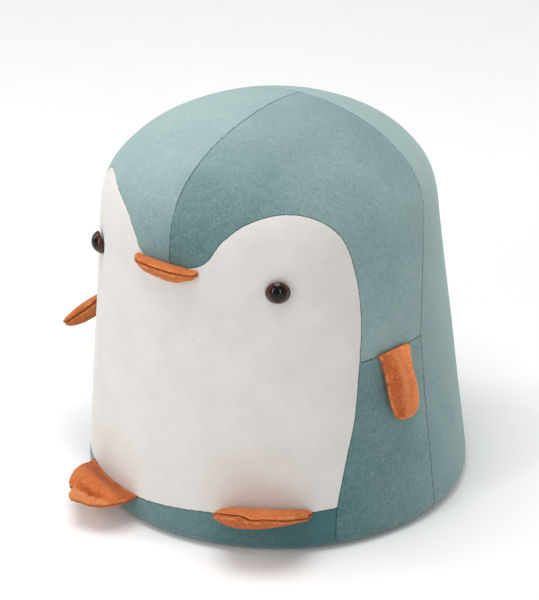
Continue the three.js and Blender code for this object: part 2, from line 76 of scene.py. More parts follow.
camera = bpy.data.objects.new("camera", bpy.data.cameras.new("camera"))
camera.data.lens = LENS
camera.data.clip_end = 50
camera.matrix_world = Matrix.Translation(AIM + back * DISTANCE) @ Matrix((
    (view_right.x, view_right.cross(view_back).x * -1, view_back.x),
    (view_right.y, view_right.cross(view_back).y * -1, view_back.y),
    (view_right.z, view_right.cross(view_back).z * -1, view_back.z),
)).to_4x4()
bpy.context.scene.collection.objects.link(camera)
bpy.context.scene.camera = camera
bpy.context.scene.view_settings.view_transform = "Standard"


def softbox(name, place, width, height, radiance):
    light = bpy.data.lights.new(name, "AREA")
    light.shape = "RECTANGLE"
    light.size = width
    light.size_y = height
    light.energy = math.pi * width * height * radiance
    lamp = bpy.data.objects.new(name, light)
    lamp.location = place
    lamp.rotation_euler = (AIM - Vector(place)).to_track_quat("-Z", "Y").to_euler()
    bpy.context.scene.collection.objects.link(lamp)


softbox("overhead", (-0.1, -0.2, 2.3), 1.7, 1.3, 4.5)
softbox("front_strip", (-0.5, -2.2, 1.15), 0.5, 1.9, 4.7)
softbox("left_strip", (1.85, -1.25, 1.0), 0.26, 1.6, 6.6)
softbox("far_side", (-2.0, -0.5, 1.2), 0.8, 1.6, 3.0)
softbox("rim", (1.2, 1.9, 1.4), 1.0, 1.5, 1.6)

world = bpy.data.worlds.new("studio")
world.use_nodes = True
world.node_tree.nodes["Background"].inputs["Color"].default_value = (1.0, 0.995, 0.985, 1)
world.node_tree.nodes["Background"].inputs["Strength"].default_value = 0.4
bpy.context.scene.world = world

# ---- Body surface --------------------------------------------------------------------------------

HALF_WIDTH = 170.0
FRONT_DEPTH = 160.0
BACK_DEPTH = 158.0
HEIGHT = 336.0
HEM_RADIUS = 10.0
CENTRE = np.array([0.0, 0.0, 140.0])
SIDE = (0.23, 0.776, 2.0)  # taper, shoulder, power
FRONT = (0.167, 0.636, 5.2)
BACK = (0.048, 0.722, 2.0)
SKEW = 0.05
SIDE_SEAM = dict(left=154.3, right=150.0)
BELLY_FOOT = dict(left=30.0, right=26.5, slope_half=30.0)  # heights of the seam under the belly
CROWN = dict(y=-12.0, bend_z=135.0, softness=30.0, lean=0.17)
HEM_Z = 1.2
LOBE_END = {side: (135.5, z) for side, z in SIDE_SEAM.items()}
BELLY_LOBES = {
    "left": [
        (0, 249), (20, 249.5), (33, 255.5), (46, 274), (62, 287), (82, 291), (104, 283), (121, 265),
        (129, 234), (134, 190), LOBE_END["left"],
    ],
    "right": [
        (0, 249), (20, 249.5), (32, 255.5), (40, 268.5), (51.5, 281.5), (71.5, 291.5), (90, 296), (108, 292),
        (123, 274), (130.5, 242), (134.5, 190), LOBE_END["right"],
    ],
}
BELLY_SIDES = {
    "left": [LOBE_END["left"], (135.5, 104), (132.5, 67), (129.5, BELLY_FOOT["left"])],
    "right": [LOBE_END["right"], (140, 104), (142.5, 67), (142, BELLY_FOOT["right"])],
}


def profile(z, shape):
    taper, shoulder, power = shape
    climb = np.maximum(0, z - HEM_RADIUS) / HEIGHT
    dome = np.clip((z / HEIGHT - shoulder) / (1 - shoulder), 0, 1)
    tuck = np.clip(1 - z / HEM_RADIUS, 0, 1)
    roll = HEM_RADIUS / HALF_WIDTH * (1 - np.sqrt(1 - tuck**2))
    return (1 - taper * climb) * np.sqrt(1 - dome**power) - roll


def half_width(z):
    return HALF_WIDTH * profile(z, SIDE)


def depth(z, y):
    return np.where(y < 0, FRONT_DEPTH * profile(z, FRONT), BACK_DEPTH * profile(z, BACK))


def is_inside(p):
    x, y, z = p[..., 0], p[..., 1], p[..., 2]
    wide = np.maximum(half_width(z), 1e-6)
    deep = np.maximum(depth(z, y), 1e-6)
    return (z >= 0) & (z < HEIGHT) & ((x / wide) ** 2 + (y / deep) ** 2 < 1)


def last_inside(at, shape):
    """Halves the span to the largest distance whose point at(distance) is inside the body."""
    near, far = np.zeros(shape), np.full(shape, 2 * HEIGHT)
    for _ in range(34):
        middle = (near + far) / 2
        hit = is_inside(at(middle))
        near, far = np.where(hit, middle, near), np.where(hit, far, middle)
    return at(near)


def unit(v):
    return v / np.maximum(np.linalg.norm(v, axis=-1, keepdims=True), 1e-9)


def cast(start, way):
    way = unit(np.asarray(way, float))
    return last_inside(lambda reach: start + way * reach[..., None], way.shape[:-1])


def project(p):
    return cast(CENTRE, p - CENTRE)


def normals(p):
    out = p - CENTRE
    across = np.cross(np.array([0.0, 0.0, 1.0]), out)
    across[np.linalg.norm(across, axis=-1) < 1] = (0, 1, 0)
    across = unit(across)
    up = unit(np.cross(out, across))
    along_across = project(p + 0.5 * across) - project(p - 0.5 * across)
    along_up = project(p + 0.5 * up) - project(p - 0.5 * up)
    return unit(np.cross(along_across, along_up))


def on_front(x, z):
    x = np.asarray(x, float)
    height = z + SKEW * x
    deep = FRONT_DEPTH * profile(height, FRONT)
    y = -deep * np.sqrt(np.maximum(0, 1 - (x / half_width(height)) ** 2))
    return np.stack([x, y, height + 0 * x], axis=-1)


def below_belly(x):
    x = np.asarray(x, float)
    half = BELLY_FOOT["slope_half"]
    share = np.clip((x + half) / (2 * half), 0, 1)
    return on_front(x, BELLY_FOOT["right"] + (BELLY_FOOT["left"] - BELLY_FOOT["right"]) * share)


def crown_y(z):
    """How far back the seam over the head lies: upright at the sides, leaning back towards the top."""
    above = z - CROWN["bend_z"]
    return CROWN["y"] + CROWN["lean"] * (above + np.hypot(above, CROWN["softness"]))


def to_frame(p):
    return (np.asarray(p) + np.array([0, 0, STAND])) * MM


# ---- Seams ---------------------------------------------------------------------------------------


def spline(points, per_span=40):
    """Centripetal Catmull-Rom curve through the points."""
    p = np.array(points, float)
    p = np.vstack([2 * p[0] - p[1], p, 2 * p[-1] - p[-2]])
    out = []
    for a, b, c, d in zip(p[:-3], p[1:-2], p[2:-1], p[3:]):
        s0, s1, s2 = (max(np.linalg.norm(q - r) ** 0.5, 1e-4) for q, r in ((b, a), (c, b), (d, c)))
        start = s1 * ((b - a) / s0 - (c - a) / (s0 + s1) + (c - b) / s1)
        end = s1 * ((c - b) / s1 - (d - b) / (s1 + s2) + (d - c) / s2)
        t = np.linspace(0, 1, per_span, endpoint=False)[:, None]
        squared = (-3 * b + 3 * c - 2 * start - end) * t**2
        cubed = (2 * b - 2 * c + start + end) * t**3
        out.append(b + start * t + squared + cubed)
    return np.vstack(out + [p[-2:-1]])


def length_of(curve):
    return np.linalg.norm(np.diff(curve, axis=0), axis=1).sum()


def at(curve, t):
    """Points at the shares t of a curve's length."""
    reach = np.concatenate([[0], np.cumsum(np.linalg.norm(np.diff(curve, axis=0), axis=1))])
    return np.stack([np.interp(np.asarray(t) * reach[-1], reach, curve[:, k]) for k in range(3)], axis=-1)


def even(curve, step=0.5):
    return at(curve, np.linspace(0, 1, max(2, round(length_of(curve) / step))))


def front_seam(points, side):
    flat = spline(points)
    return even(on_front(side * flat[:, 0], flat[:, 1]))


def hem_between(first, last, through=False):
    start, end = math.atan2(first[1], first[0]), math.atan2(last[1], last[0])
    if through and end < start:
        end += 2 * math.pi
    angle = np.linspace(start, end, 1200)
    ways = np.stack([np.cos(angle), np.sin(angle), 0 * angle], axis=-1)
    return even(cast(np.array([0, 0, HEM_Z]), ways))


def seams_of(name, side):
    lobe = front_seam(BELLY_LOBES[name], side)
    belly_side = front_seam(BELLY_SIDES[name], side)
    join_z = SIDE_SEAM[name] + SKEW * side * LOBE_END[name][0]
    angle = np.linspace(0, math.atan2(half_width(join_z), join_z - CENTRE[2]), 700)

    def on_crown(reach):
        z = CENTRE[2] + np.cos(angle) * reach
        return np.stack([side * np.sin(angle) * reach, crown_y(z), z], axis=-1)

    crown = even(last_inside(on_crown, angle.shape))
    join = crown[-1]
    t = np.linspace(0, 1, 400)
    z = join[2] + (HEM_Z - join[2]) * t
    y = join[1] + (crown_y(HEM_Z) - join[1]) * t
    lower = even(np.stack([side * half_width(z) * np.sqrt(1 - (y / depth(z, y)) ** 2), y, z], axis=-1))
    wing = even(project(lobe[-1] + (join - lobe[-1]) * t[:, None]))
    corner = belly_side[-1]
    band_z = corner[2] + (HEM_Z - corner[2]) * t
    band_end = even(on_front(corner[0] + 0 * t, band_z - SKEW * corner[0]))
    hem = hem_between(band_end[-1], lower[-1]) if side > 0 else hem_between(lower[-1], band_end[-1])[::-1]
    return dict(
        lobe=lobe, belly_side=belly_side, crown=crown, lower=lower, wing=wing, band_end=band_end, hem=hem
    )


seams = {"left": seams_of("left", 1), "right": seams_of("right", -1)}
notch, top = seams["left"]["lobe"][0], seams["left"]["crown"][0]
pitch = np.linspace(math.atan2(top[1], top[2] - CENTRE[2]), math.atan2(notch[1], notch[2] - CENTRE[2]), 600)
face_seam = even(cast(CENTRE, np.stack([0 * pitch, np.sin(pitch), np.cos(pitch)], axis=-1)))
belly_foot = even(below_belly(np.linspace(-BELLY_SIDES["right"][-1][0], BELLY_SIDES["left"][-1][0], 700)))
band_hem = hem_between(seams["right"]["band_end"][-1], seams["left"]["band_end"][-1], True)
back_hem = hem_between(seams["left"]["lower"][-1], seams["right"]["lower"][-1], True)
EYES = {"left": (on_front(87.4, 230.3), 35, 3), "right": (on_front(-101.0, 234.3), -42, 5)}  # azimuth, droop

# ---- Meshes --------------------------------------------------------------------------------------


def make_object(name, points, faces, material, smooth=True):
    mesh = bpy.data.meshes.new(name)
    mesh.from_pydata([tuple(p) for p in points], [], [tuple(f) for f in faces])
    mesh.materials.append(material)
    mesh.polygons.foreach_set("use_smooth", [smooth] * len(mesh.polygons))
    mesh.update()
    made = bpy.data.objects.new(name, mesh)
    bpy.context.scene.collection.objects.link(made)
    return made


def give(made, name, values):
    attribute = made.data.attributes.new(name, "FLOAT", "POINT")
    attribute.data.foreach_set("value", np.asarray(values, np.float32).ravel())


def noise_at(points, size, seed=0.0):
    """Smooth noise from -1 to 1 with bumps about size across."""
    shift = Vector((seed, 1.7 * seed, -seed))
    values = [noise.noise(Vector(p) / size + shift) for p in points.reshape(-1, 3)]
    return np.array(values).reshape(points.shape[:-1])


def nearest(points, curve):
    """Distance to a curve, and its nearest point, for every point."""
    tree = kdtree.KDTree(len(curve))
    for i, p in enumerate(curve):
        tree.insert(p, i)
    tree.balance()
    found = [tree.find(p) for p in points.reshape(-1, 3)]
    gap = np.array([f[2] for f in found]).reshape(points.shape[:-1])
    return gap, curve[[f[1] for f in found]].reshape(points.shape)


# ---- Materials -----------------------------------------------------------------------------------


class Surface:
    """A node material with a few shorthands."""

    def __init__(self, name, **sockets):
        self.material = bpy.data.materials.new(name)
        self.material.use_nodes = True
        self.tree = self.material.node_tree
        self.shader = self.tree.nodes["Principled BSDF"]
        for socket, value in sockets.items():
            self.shader.inputs[socket.replace("_", " ")].default_value = value
        self.place = self.node("TexCoord").outputs["Object"]

    def node(self, kind, inputs=(), **settings):
        made = self.tree.nodes.new("ShaderNode" + kind)
        for key, value in settings.items():
            setattr(made, key, value)
        for key, value in dict(inputs).items():
            if hasattr(value, "is_output"):
                self.tree.links.new(value, made.inputs[key])
            else:
                made.inputs[key].default_value = value
        return made

    def along(self, way, times):
        """The object's space with its features drawn out along a direction."""
        pitch, yaw = math.asin(-way[2]), math.atan2(way[1], way[0])
        inputs = {"Vector": self.place, "Rotation": (0, pitch, yaw), "Scale": (times, 1, 1)}
        return self.node("Mapping", inputs, vector_type="TEXTURE").outputs[0]

    def ramp(self, axis, low, high, to_low, to_high):
        """A value that follows the place along an axis of the object's space, in millimetres."""
        value = self.node("SeparateXYZ", {0: self.place}).outputs["XYZ".index(axis)]
        return self.remap(value, low * MM, high * MM, to_low, to_high)

    def noise(self, size, detail=2.0, roughness=0.5, where=None, distortion=0.0):
        """Noise from 0 to 1 with features about size millimetres across."""
        inputs = {
            "Vector": where or self.place, "Scale": 1000 / size, "Detail": detail, "Roughness": roughness,
            "Distortion": distortion,
        }
        return self.node("TexNoise", inputs).outputs["Fac"]

    def remap(self, value, low, high, to_low=0.0, to_high=1.0):
        inputs = {"Value": value, "From Min": low, "From Max": high, "To Min": to_low, "To Max": to_high}
        return self.node("MapRange", inputs).outputs[0]

    def math(self, operation, a, b):
        return self.node("Math", {0: a, 1: b}, operation=operation).outputs[0]

    def mix(self, factor, a, b, blend="MIX"):
        made = self.node("Mix", {0: factor, 6: a, 7: b}, data_type="RGBA", blend_type=blend)
        return made.outputs[2]

    def seam(self, name="seam"):
        return self.node("Attribute", attribute_name=name).outputs["Fac"]

    def connect(self, socket, value):
        self.tree.links.new(value, self.shader.inputs[socket])

    def bump(self, layers):
        """Bumps from (height, strength, millimetres) layers, one on the other."""
        normal = None
        for height, strength, distance in layers:
            inputs = {"Height": height, "Strength": strength, "Distance": distance * MM}
            if normal:
                inputs["Normal"] = normal
            normal = self.node("Bump", inputs).outputs[0]
        self.connect("Normal", normal)


def velvet(name, lie, low, gain, power, ramp, stroke=0.14, brushed=0.1):
    """Short-pile velvet: the pile lies in small strokes that catch the light, over brushed patches.

    Low, gain, power and ramp paint light and shade into the colour. Low is how far the cloth stands from its
    dark to its light colour at the hem, gain the painted light it gains up to the crown, power how close to the
    crown that light gathers, and ramp the painted light and shade across it: axis, from, to, first value, last
    value.
    """
    made = Surface(
        name, Roughness=0.9, Specular_IOR_Level=0.12, Sheen_Weight=0.35, Sheen_Roughness=0.42,
        Sheen_Tint=(0.8, 1.0, 0.98, 1),
    )
    strokes = made.noise(1.35, 2.0, 0.5, made.along(lie, 1.9), 0.8)
    clumps = made.noise(5.0, 3.0, 0.55, made.along(lie, 1.6), 0.5)
    patches = made.noise(52, 3.0, 0.5, distortion=0.4)
    grain = made.noise(0.8, 2.0, 0.6)
    # Painted light: the colour grows lighter towards the crown, where the overhead light falls, and the ramp
    # paints light and shade across the panel.
    climb = made.math("POWER", made.ramp("Z", 0, HEIGHT, 0, 1), power)
    painted_light_by_height = made.remap(climb, 0, 1, low, low + gain)
    tone = made.math("ADD", painted_light_by_height, made.remap(strokes, 0.28, 0.72, -stroke, stroke))
    tone = made.math("ADD", tone, made.ramp(*ramp))
    for value, reach in ((patches, 0.5 * brushed), (clumps, 0.035), (grain, 0.05)):
        tone = made.math("ADD", tone, made.remap(value, 0.3, 0.7, -reach, reach))
    colour = made.mix(tone, (0.056, 0.134, 0.14, 1), (0.415, 0.542, 0.53, 1))
    ragged = made.math("ADD", made.seam(), made.remap(made.noise(2.2, 1.0), 0.3, 0.7, -0.5, 0.35))
    shade = made.remap(ragged, -0.1, 0.85, 0.45, 1.0)
    made.connect("Base Color", made.mix(1.0, colour, shade, "MULTIPLY"))
    made.bump([(clumps, 0.14, 0.8), (strokes, 0.65, 0.5), (grain, 0.5, 0.25)])
    return made.material


def suede(name, ramp=None, light=(0.7, 0.215, 0.064, 1)):
    """Brushed suede cloth: fine speckle, soft painted shade in the seam grooves and hollows, paler rubbed lips
    beside the seams, a painted highlight on raised ridges and, where a ramp is given, painted light and shade
    across it.
    """
    made = Surface(
        name, Roughness=0.88, Specular_IOR_Level=0.15, Sheen_Weight=0.12, Sheen_Roughness=0.4,
        Sheen_Tint=(1.0, 0.72, 0.5, 1),
    )
    speckle = made.noise(1.1, 3.0, 0.7)
    cloud = made.noise(9, 3.0, 0.55)
    tone = made.math("ADD", made.remap(speckle, 0.36, 0.64, 0, 0.62), made.remap(cloud, 0.3, 0.7, 0.08, 0.3))
    # Painted light and shade across the piece, where a ramp is given.
    if ramp:
        tone = made.math("ADD", tone, made.ramp(*ramp))
    colour = made.mix(tone, (0.36, 0.078, 0.018, 1), light)
    # Painted shade: darker in the seam groove along the rim.
    groove = made.remap(made.seam(), -0.2, 1.0, 0.3, 1.0)
    colour = made.mix(1.0, colour, groove, "MULTIPLY")
    # Painted shade: a deeper, darker orange in the folds, hollows and root valleys.
    colour = made.mix(made.remap(made.seam("fold"), 0.0, 4.0, 0.0, 0.85), colour, (0.33, 0.066, 0.015, 1))
    # Paler rubbed lips beside the seams, in random patches; on raised ridges the same paler colour is a painted
    # highlight.
    lip = made.math("MULTIPLY", made.remap(made.seam(), 0.9, 1.8), made.remap(made.seam(), 3.6, 1.8))
    wear_and_ridge_highlight = made.math("MULTIPLY", lip, made.remap(made.noise(5, 2.0), 0.42, 0.65, 0, 0.45))
    wear_and_ridge_highlight = made.math("MAXIMUM", wear_and_ridge_highlight, made.remap(made.seam("raised"), 0.15, 0.65, 0.0, 0.22))
    made.connect("Base Color", made.mix(wear_and_ridge_highlight, colour, (0.88, 0.44, 0.21, 1)))
    made.bump([(cloud, 0.2, 1.0), (speckle, 0.65, 0.45)])
    return made.material


def belly_cloth(name):
    """Off-white short pile with faint mottling and a few specks of lint."""
    made = Surface(
        name, Roughness=0.9, Specular_IOR_Level=0.15, Sheen_Weight=0.25, Sheen_Roughness=0.45,
        Sheen_Tint=(1.0, 0.98, 0.95, 1),
    )
    mottle = made.noise(30, 4.0, 0.6)
    pile = made.noise(1.3, 3.0, 0.6)
    tone = made.math("ADD", made.remap(mottle, 0.3, 0.7, 0, 0.6), made.remap(pile, 0.3, 0.7, 0, 0.4))
    colour = made.mix(tone, (0.625, 0.603, 0.57, 1), (0.715, 0.692, 0.662, 1))
    # Painted shade: the belly is darker towards +X.
    colour = made.mix(1.0, colour, made.ramp("X", -40, 110, 1.0, 0.93), "MULTIPLY")
    cells = made.node("TexVoronoi", {"Vector": made.place, "Scale": 1000 / 26})
    rare = made.remap(made.node("SeparateColor", {0: cells.outputs["Color"]}).outputs[0], 0.70, 0.71)
    dot = made.remap(cells.outputs["Distance"], 0.035, 0.02)
    colour = made.mix(made.math("MULTIPLY", rare, dot), colour, (0.25, 0.31, 0.31, 1))
    ragged = made.math("ADD", made.seam(), made.remap(made.noise(1.5, 2.0), 0.3, 0.7, -0.45, 0.3))
    teal_pile = made.remap(ragged, 0.42, 0.2)
    made.connect("Base Color", made.mix(teal_pile, colour, (0.2, 0.31, 0.31, 1)))
    made.bump([(pile, 0.3, 0.25), (mottle, 0.15, 1.0)])
    return made.material


def plain(name, colour, roughness, bump=0.0, size=0.6, metallic=0.0, spread=0.12):
    """A hard or plain part: fine-grained colour and an uneven finish."""
    made = Surface(name, Metallic=metallic)
    grain = made.noise(size, 3.0)
    cloud = made.noise(14, 2.0)
    tone = made.math("ADD", made.remap(grain, 0.3, 0.7, 0, 0.5), made.remap(cloud, 0.3, 0.7, 0, 0.5))
    low, high = [c * (1 - spread) for c in colour], [min(1, c * (1 + spread)) for c in colour]
    made.connect("Base Color", made.mix(tone, (*low, 1), (*high, 1)))
    made.connect("Roughness", made.remap(cloud, 0.3, 0.7, roughness * 0.9, min(1, roughness * 1.1)))
    made.bump([(grain, 0.3, bump or 0.03)])
    return made.material


# Lit and shaded copies of one velvet: each panel's levels and ramp paint the light and shade that fall on it,
# and its first tuple is the lie of its pile.
lit_and_shaded_velvets = {
    "face_left": velvet(
        "velvet_face_left", (0.74, 0.15, -0.65), 0.2, 0.34, 14, ("X", 60, 150, -0.03, 0.32), stroke=0.11
    ),
    "face_right": velvet(
        "velvet_face_right", (0.6, 0.3, 0.74), 0.16, 0.58, 3, ("X", -120, 0, 0.1, -0.08), stroke=0.11
    ),
    "side": velvet("velvet_side", (0.3, 0.55, 0.78), 0.08, 0.2, 1, ("Y", -95, -10, -0.03, 0.24), stroke=0.1),
    "back": velvet("velvet_back", (0.25, 0.3, 0.92), 0.33, 0.32, 1, ("Y", -10, 50, -0.02, 0.1), stroke=0.06),
    "band": velvet(
        "velvet_band", (0.85, 0.35, 0.4), 0.03, 0.09, 1, ("X", -80, 110, 0.22, -0.06), stroke=0.06
    ),
}
belly_material = belly_cloth("belly_cloth")
orange = suede("suede")
# Painted light and shade: the near wing's outer face is lighter towards the back, the near foot's sole darker
# towards the bottom.
shaded_suedes = {
    "wing_left_outer": suede("suede_wing", ("Y", -52, -26, -0.4, 0.4), (0.94, 0.305, 0.11, 1)),
    "foot_left_sole": suede("suede_sole", ("Z", 20, 50, -0.75, -0.3)),
}
fluff = plain("padding", (0.82, 0.8, 0.76), 1.0, 1.2, 4.0)
thread_teal = plain("thread_teal", (0.075, 0.13, 0.13), 0.7)

# ---- Cover panels --------------------------------------------------------------------------------

EDGE_LINES = np.array([0, 0.25, 0.55, 0.9, 1.4, 2.2, 3.4])
ROLL_RADIUS = 0.85
SEAM_GAP = 0.16


def grid_lines(length, step):
    inner = np.linspace(5, length - 5, max(2, round((length - 10) / step) + 1))
    return np.concatenate([EDGE_LINES, inner, length - EDGE_LINES[::-1]]) / length


def arcs(a, b, t):
    """Points at t of the arcs from a to b round the middle of the body."""
    p, q = a - CENTRE, b - CENTRE
    long_p, long_q = (np.linalg.norm(v, axis=-1, keepdims=True) for v in (p, q))
    turn = np.arccos(np.clip((p * q).sum(-1, keepdims=True) / (long_p * long_q), -1, 1))
    share = np.sin(turn) + 1e-9
    way = (np.sin((1 - t) * turn) * p / long_p + np.sin(t * turn) * q / long_q) / share
    return CENTRE + way * ((1 - t) * long_p + t * long_q)


def patch_between(bottom, top_edge, start, end, step=3.0):
    across = grid_lines(max(length_of(bottom), length_of(top_edge)), step)
    upward = grid_lines(max(length_of(start), length_of(end)), step)
    b, t, s, e = at(bottom, across), at(top_edge, across), at(start, upward), at(end, upward)
    u, v = across[None, :, None], upward[:, None, None]
    grid = arcs(b[None], t[None], v)
    grid = grid + (1 - u) * (s[:, None] - arcs(b[0], t[0], v)) + u * (e[:, None] - arcs(b[-1], t[-1], v))
    grid[0], grid[-1], grid[:, 0], grid[:, -1] = b, t, s, e
    return project(grid)


def unevenness(points):
    return 0.7 * noise_at(points, 75.0, 1.0) + 0.22 * noise_at(points, 24.0, 5.0)


def relief(grid, edges, hem):
    """How far the cloth stands off the body surface, and its distance to the nearest seam."""
    seam_gap = np.full(grid.shape[:2], 99.0)
    pull = np.zeros(grid.shape[:2])
    for name, edge in edges.items():
        gap, foot = nearest(grid, edge)
        if name == hem:
            continue
        seam_gap = np.minimum(seam_gap, gap)
        gathers = noise_at(foot, 5.0, 3.0) + 0.6 * noise_at(foot, 11.0, 7.0)
        pull += np.exp(-gap / 6) * (0.22 * gathers - 0.35)
    turn = np.clip(ROLL_RADIUS - seam_gap, 0, ROLL_RADIUS)
    roll = ROLL_RADIUS - np.sqrt(ROLL_RADIUS**2 - turn**2)
    low = np.exp(-np.maximum(grid[..., 2], 0) / 9)
    lumps = 0.7 * noise_at(grid * (1, 1, 0.3), 26.0, 9.0) + 0.3 * noise_at(grid * (1, 1, 0.3), 11.0, 2.0)
    return unevenness(grid) + pull - roll + low * lumps, seam_gap


def faces_of(rows, columns):
    start = (np.arange(rows - 1)[:, None] * columns + np.arange(columns - 1)).ravel()
    return np.stack([start, start + 1, start + columns + 1, start + columns], axis=-1)


def cover_panel(name, node, bottom, top_edge, start, end, material, hem=None):
    grid = patch_between(bottom, top_edge, start, end)
    out = normals(grid)
    edges = {"bottom": bottom, "top": top_edge, "start": start, "end": end}
    height, seam_gap = relief(grid, edges, hem)
    if node == "belly_panel":
        for eye, *_ in EYES.values():
            near = np.linalg.norm(grid - eye, axis=-1)
            height -= 1.5 * np.exp(-((near / 12) ** 4))
    shaped = grid + out * height[..., None]
    middle = grid[grid.shape[0] // 2, grid.shape[1] // 2]
    for edge in (np.s_[0], np.s_[-1], np.s_[:, 0], np.s_[:, -1]):
        shaped[edge] += unit(middle - grid[edge]) * SEAM_GAP / 2
    if hem == "top":
        shaped, out, seam_gap = shaped[::-1], out[::-1], seam_gap[::-1]
    if hem:
        inward = -unit(shaped[0] * (1, 1, 0))
        wavy = 0.5 + 0.5 * noise_at(shaped[0], 17.0, 4.0)
        under = [shaped[0] + inward * reach for reach in (13.0, 7.0, 2.5)]
        for row, z in zip(under, (0.3, 0.3, 0.55)):
            row[:, 2] = z
        shaped[0, :, 2] += 0.8 * wavy - 0.3
        shaped = np.concatenate([np.stack(under), shaped])
        out = np.concatenate([np.repeat(out[:1], 3, 0), out])
        seam_gap = np.concatenate([np.repeat(seam_gap[:1], 3, 0), seam_gap])
    low_pad = 0 if hem else 1
    pads = ((low_pad, 1), (1, 1))
    full = np.pad(shaped, (*pads, (0, 0)), mode="edge")
    out = np.pad(out, (*pads, (0, 0)), mode="edge")
    seam_gap = np.pad(seam_gap, pads, mode="edge")
    sunk = np.ones(full.shape[:2], bool)
    sunk[low_pad:-1, 1:-1] = False
    flat = full[..., 2] < 1.0
    full[sunk] -= out[sunk] * 3.0
    if hem:
        full[..., 2] = np.where(sunk & flat, 0.35, full[..., 2])
    rows, columns = full.shape[:2]
    faces = faces_of(rows, columns)
    a, b, c, _ = full.reshape(-1, 3)[faces[len(faces) // 2]]
    if np.dot(np.cross(b - a, c - a), a - CENTRE) < 0:
        faces = faces[:, ::-1]
    made = make_object(name, to_frame(full.reshape(-1, 3)), faces, material)
    give(made, "seam", seam_gap)
    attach(made, "body")
    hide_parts(node)


for side, s in seams.items():
    cover_panel(
        f"face_cloth_{side}", f"face_panel_{side}", face_seam, s["wing"][::-1], s["crown"], s["lobe"],
        lit_and_shaded_velvets["face_" + side],
    )
    fore = np.vstack([s["belly_side"], s["band_end"][1:]])
    cover_panel(
        f"side_cloth_{side}", f"side_panel_{side}", s["wing"], s["hem"], fore, s["lower"],
        lit_and_shaded_velvets["side"], hem="top",
    )
left, right = seams["left"], seams["right"]
cover_panel(
    "belly_cloth", "belly_panel", belly_foot, np.vstack([right["lobe"][::-1], left["lobe"][1:]]),
    right["belly_side"][::-1], left["belly_side"][::-1], belly_material,
)
cover_panel(
    "hem_cloth", "hem_band", band_hem, belly_foot, right["band_end"][::-1], left["band_end"][::-1],
    lit_and_shaded_velvets["band"], hem="bottom",
)
cover_panel(
    "back_cloth", "back_panel", back_hem, np.vstack([left["crown"][::-1], right["crown"][1:]]),
    left["lower"][::-1], right["lower"][::-1], lit_and_shaded_velvets["back"], hem="bottom",
)


STITCH_RINGS = ((-0.5, 0.08, 0.4), (-0.3, 0.2, 0.1), (0.3, 0.2, 0.1), (0.5, 0.08, 0.4))  # share, radius, sink


def stitches(name, curves, material, pitch=3.4, long=2.2, sunk=0.6):
    """Small thread stitches that lie in a seam's groove."""
    ring = [(math.cos(k * math.pi / 3), math.sin(k * math.pi / 3)) for k in range(6)]
    points, faces = [], []
    for curve in curves:
        count = int(length_of(curve) / pitch)
        middles = at(curve, (np.arange(count) + 0.5) / count)
        ahead = at(curve, np.minimum(1, (np.arange(count) + 0.6) / count))
        outs = normals(middles)
        for middle, way, out in zip(middles, unit(ahead - middles), outs):
            side_way = np.cross(out, way)
            base = len(points)
            for share, radius, sink in STITCH_RINGS:
                centre = middle + way * share * long - out * (sunk + sink)
                points += [centre + radius * (c * side_way + s * out) for c, s in ring]
            for j in range(3):
                row = base + 6 * j
                faces += [(row + k, row + (k + 1) % 6, row + 6 + (k + 1) % 6, row + 6 + k) for k in range(6)]
            faces += [tuple(base + k for k in range(5, -1, -1)), tuple(base + 18 + k for k in range(6))]
    made = make_object(name, to_frame(np.array(points)), faces, material)
    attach(made, "body")


sewn_seams = [face_seam, left["crown"], right["crown"], left["lower"], right["lower"]]
stitches("crown_stitches", sewn_seams, thread_teal)

# ---- Stuffed flaps -------------------------------------------------------------------------------

SPREAD = 10.0  # the flaps are inflated ten times larger, where cloth behaves well
FLAP_EDGE = 0.985
ROOT_STAND = 2.4
SEWN_IN = 3.6  # how far a flap's root runs back past its hinge, into the seam
CELL = 2.3
RIM_WAVE = 0.6
MOMENTS = 24  # frames of the simulation

# rise and sag are the heights of a flap's first and second face, squareness is its outline's power (2 is an
# ellipse), pinch is how far from the root a face takes to open out (under_pinch where the second one differs),
# and a lower fullness makes both faces blunter.
WING_LEFT = dict(half_width=19.0, length=58.5, rise=8.0, sag=1.8, squareness=3.7, pinch=4.0, fullness=0.8)
WING_RIGHT = dict(
    half_width=16.0, length=49.5, rise=7.2, sag=10.2, squareness=4.6,
    pinch=32.0, under_pinch=10.0, fullness=0.45,
)
FOOT_LEFT = dict(half_width=41.3, length=40.0, rise=8.6, sag=7.8, squareness=2.7, pinch=5.0, fullness=0.68)
FOOT_RIGHT = dict(half_width=44.5, length=40.0, rise=11.0, sag=6.6, squareness=2.3, pinch=19.0, fullness=0.9)
BEAK = dict(half_width=32.5, length=11.0, rise=5.0, sag=10.0, squareness=2.4, pinch=0.0, fullness=0.8)
BEAK_SEAT = (-4.0, 248.0, -0.08)  # middle of its root, height there, slope
WING_LIFT = {"left": 16, "right": 46}
WING_Y = {"left": -38.0, "right": -41.0}
FOOT_SEATS = {  # side, inner and outer end, toe-in, lift
    "left": (1, 43.0, 116.0, 0.28, 24),
    "right": (-1, 37.0, 115.0, 0.18, 2),
}


def rotated(way, degrees):
    """A level direction turned up out of the level by some degrees."""
    turn = math.radians(degrees)
    return unit(np.array(way) * math.cos(turn) + np.array([0, 0, math.sin(turn)]))


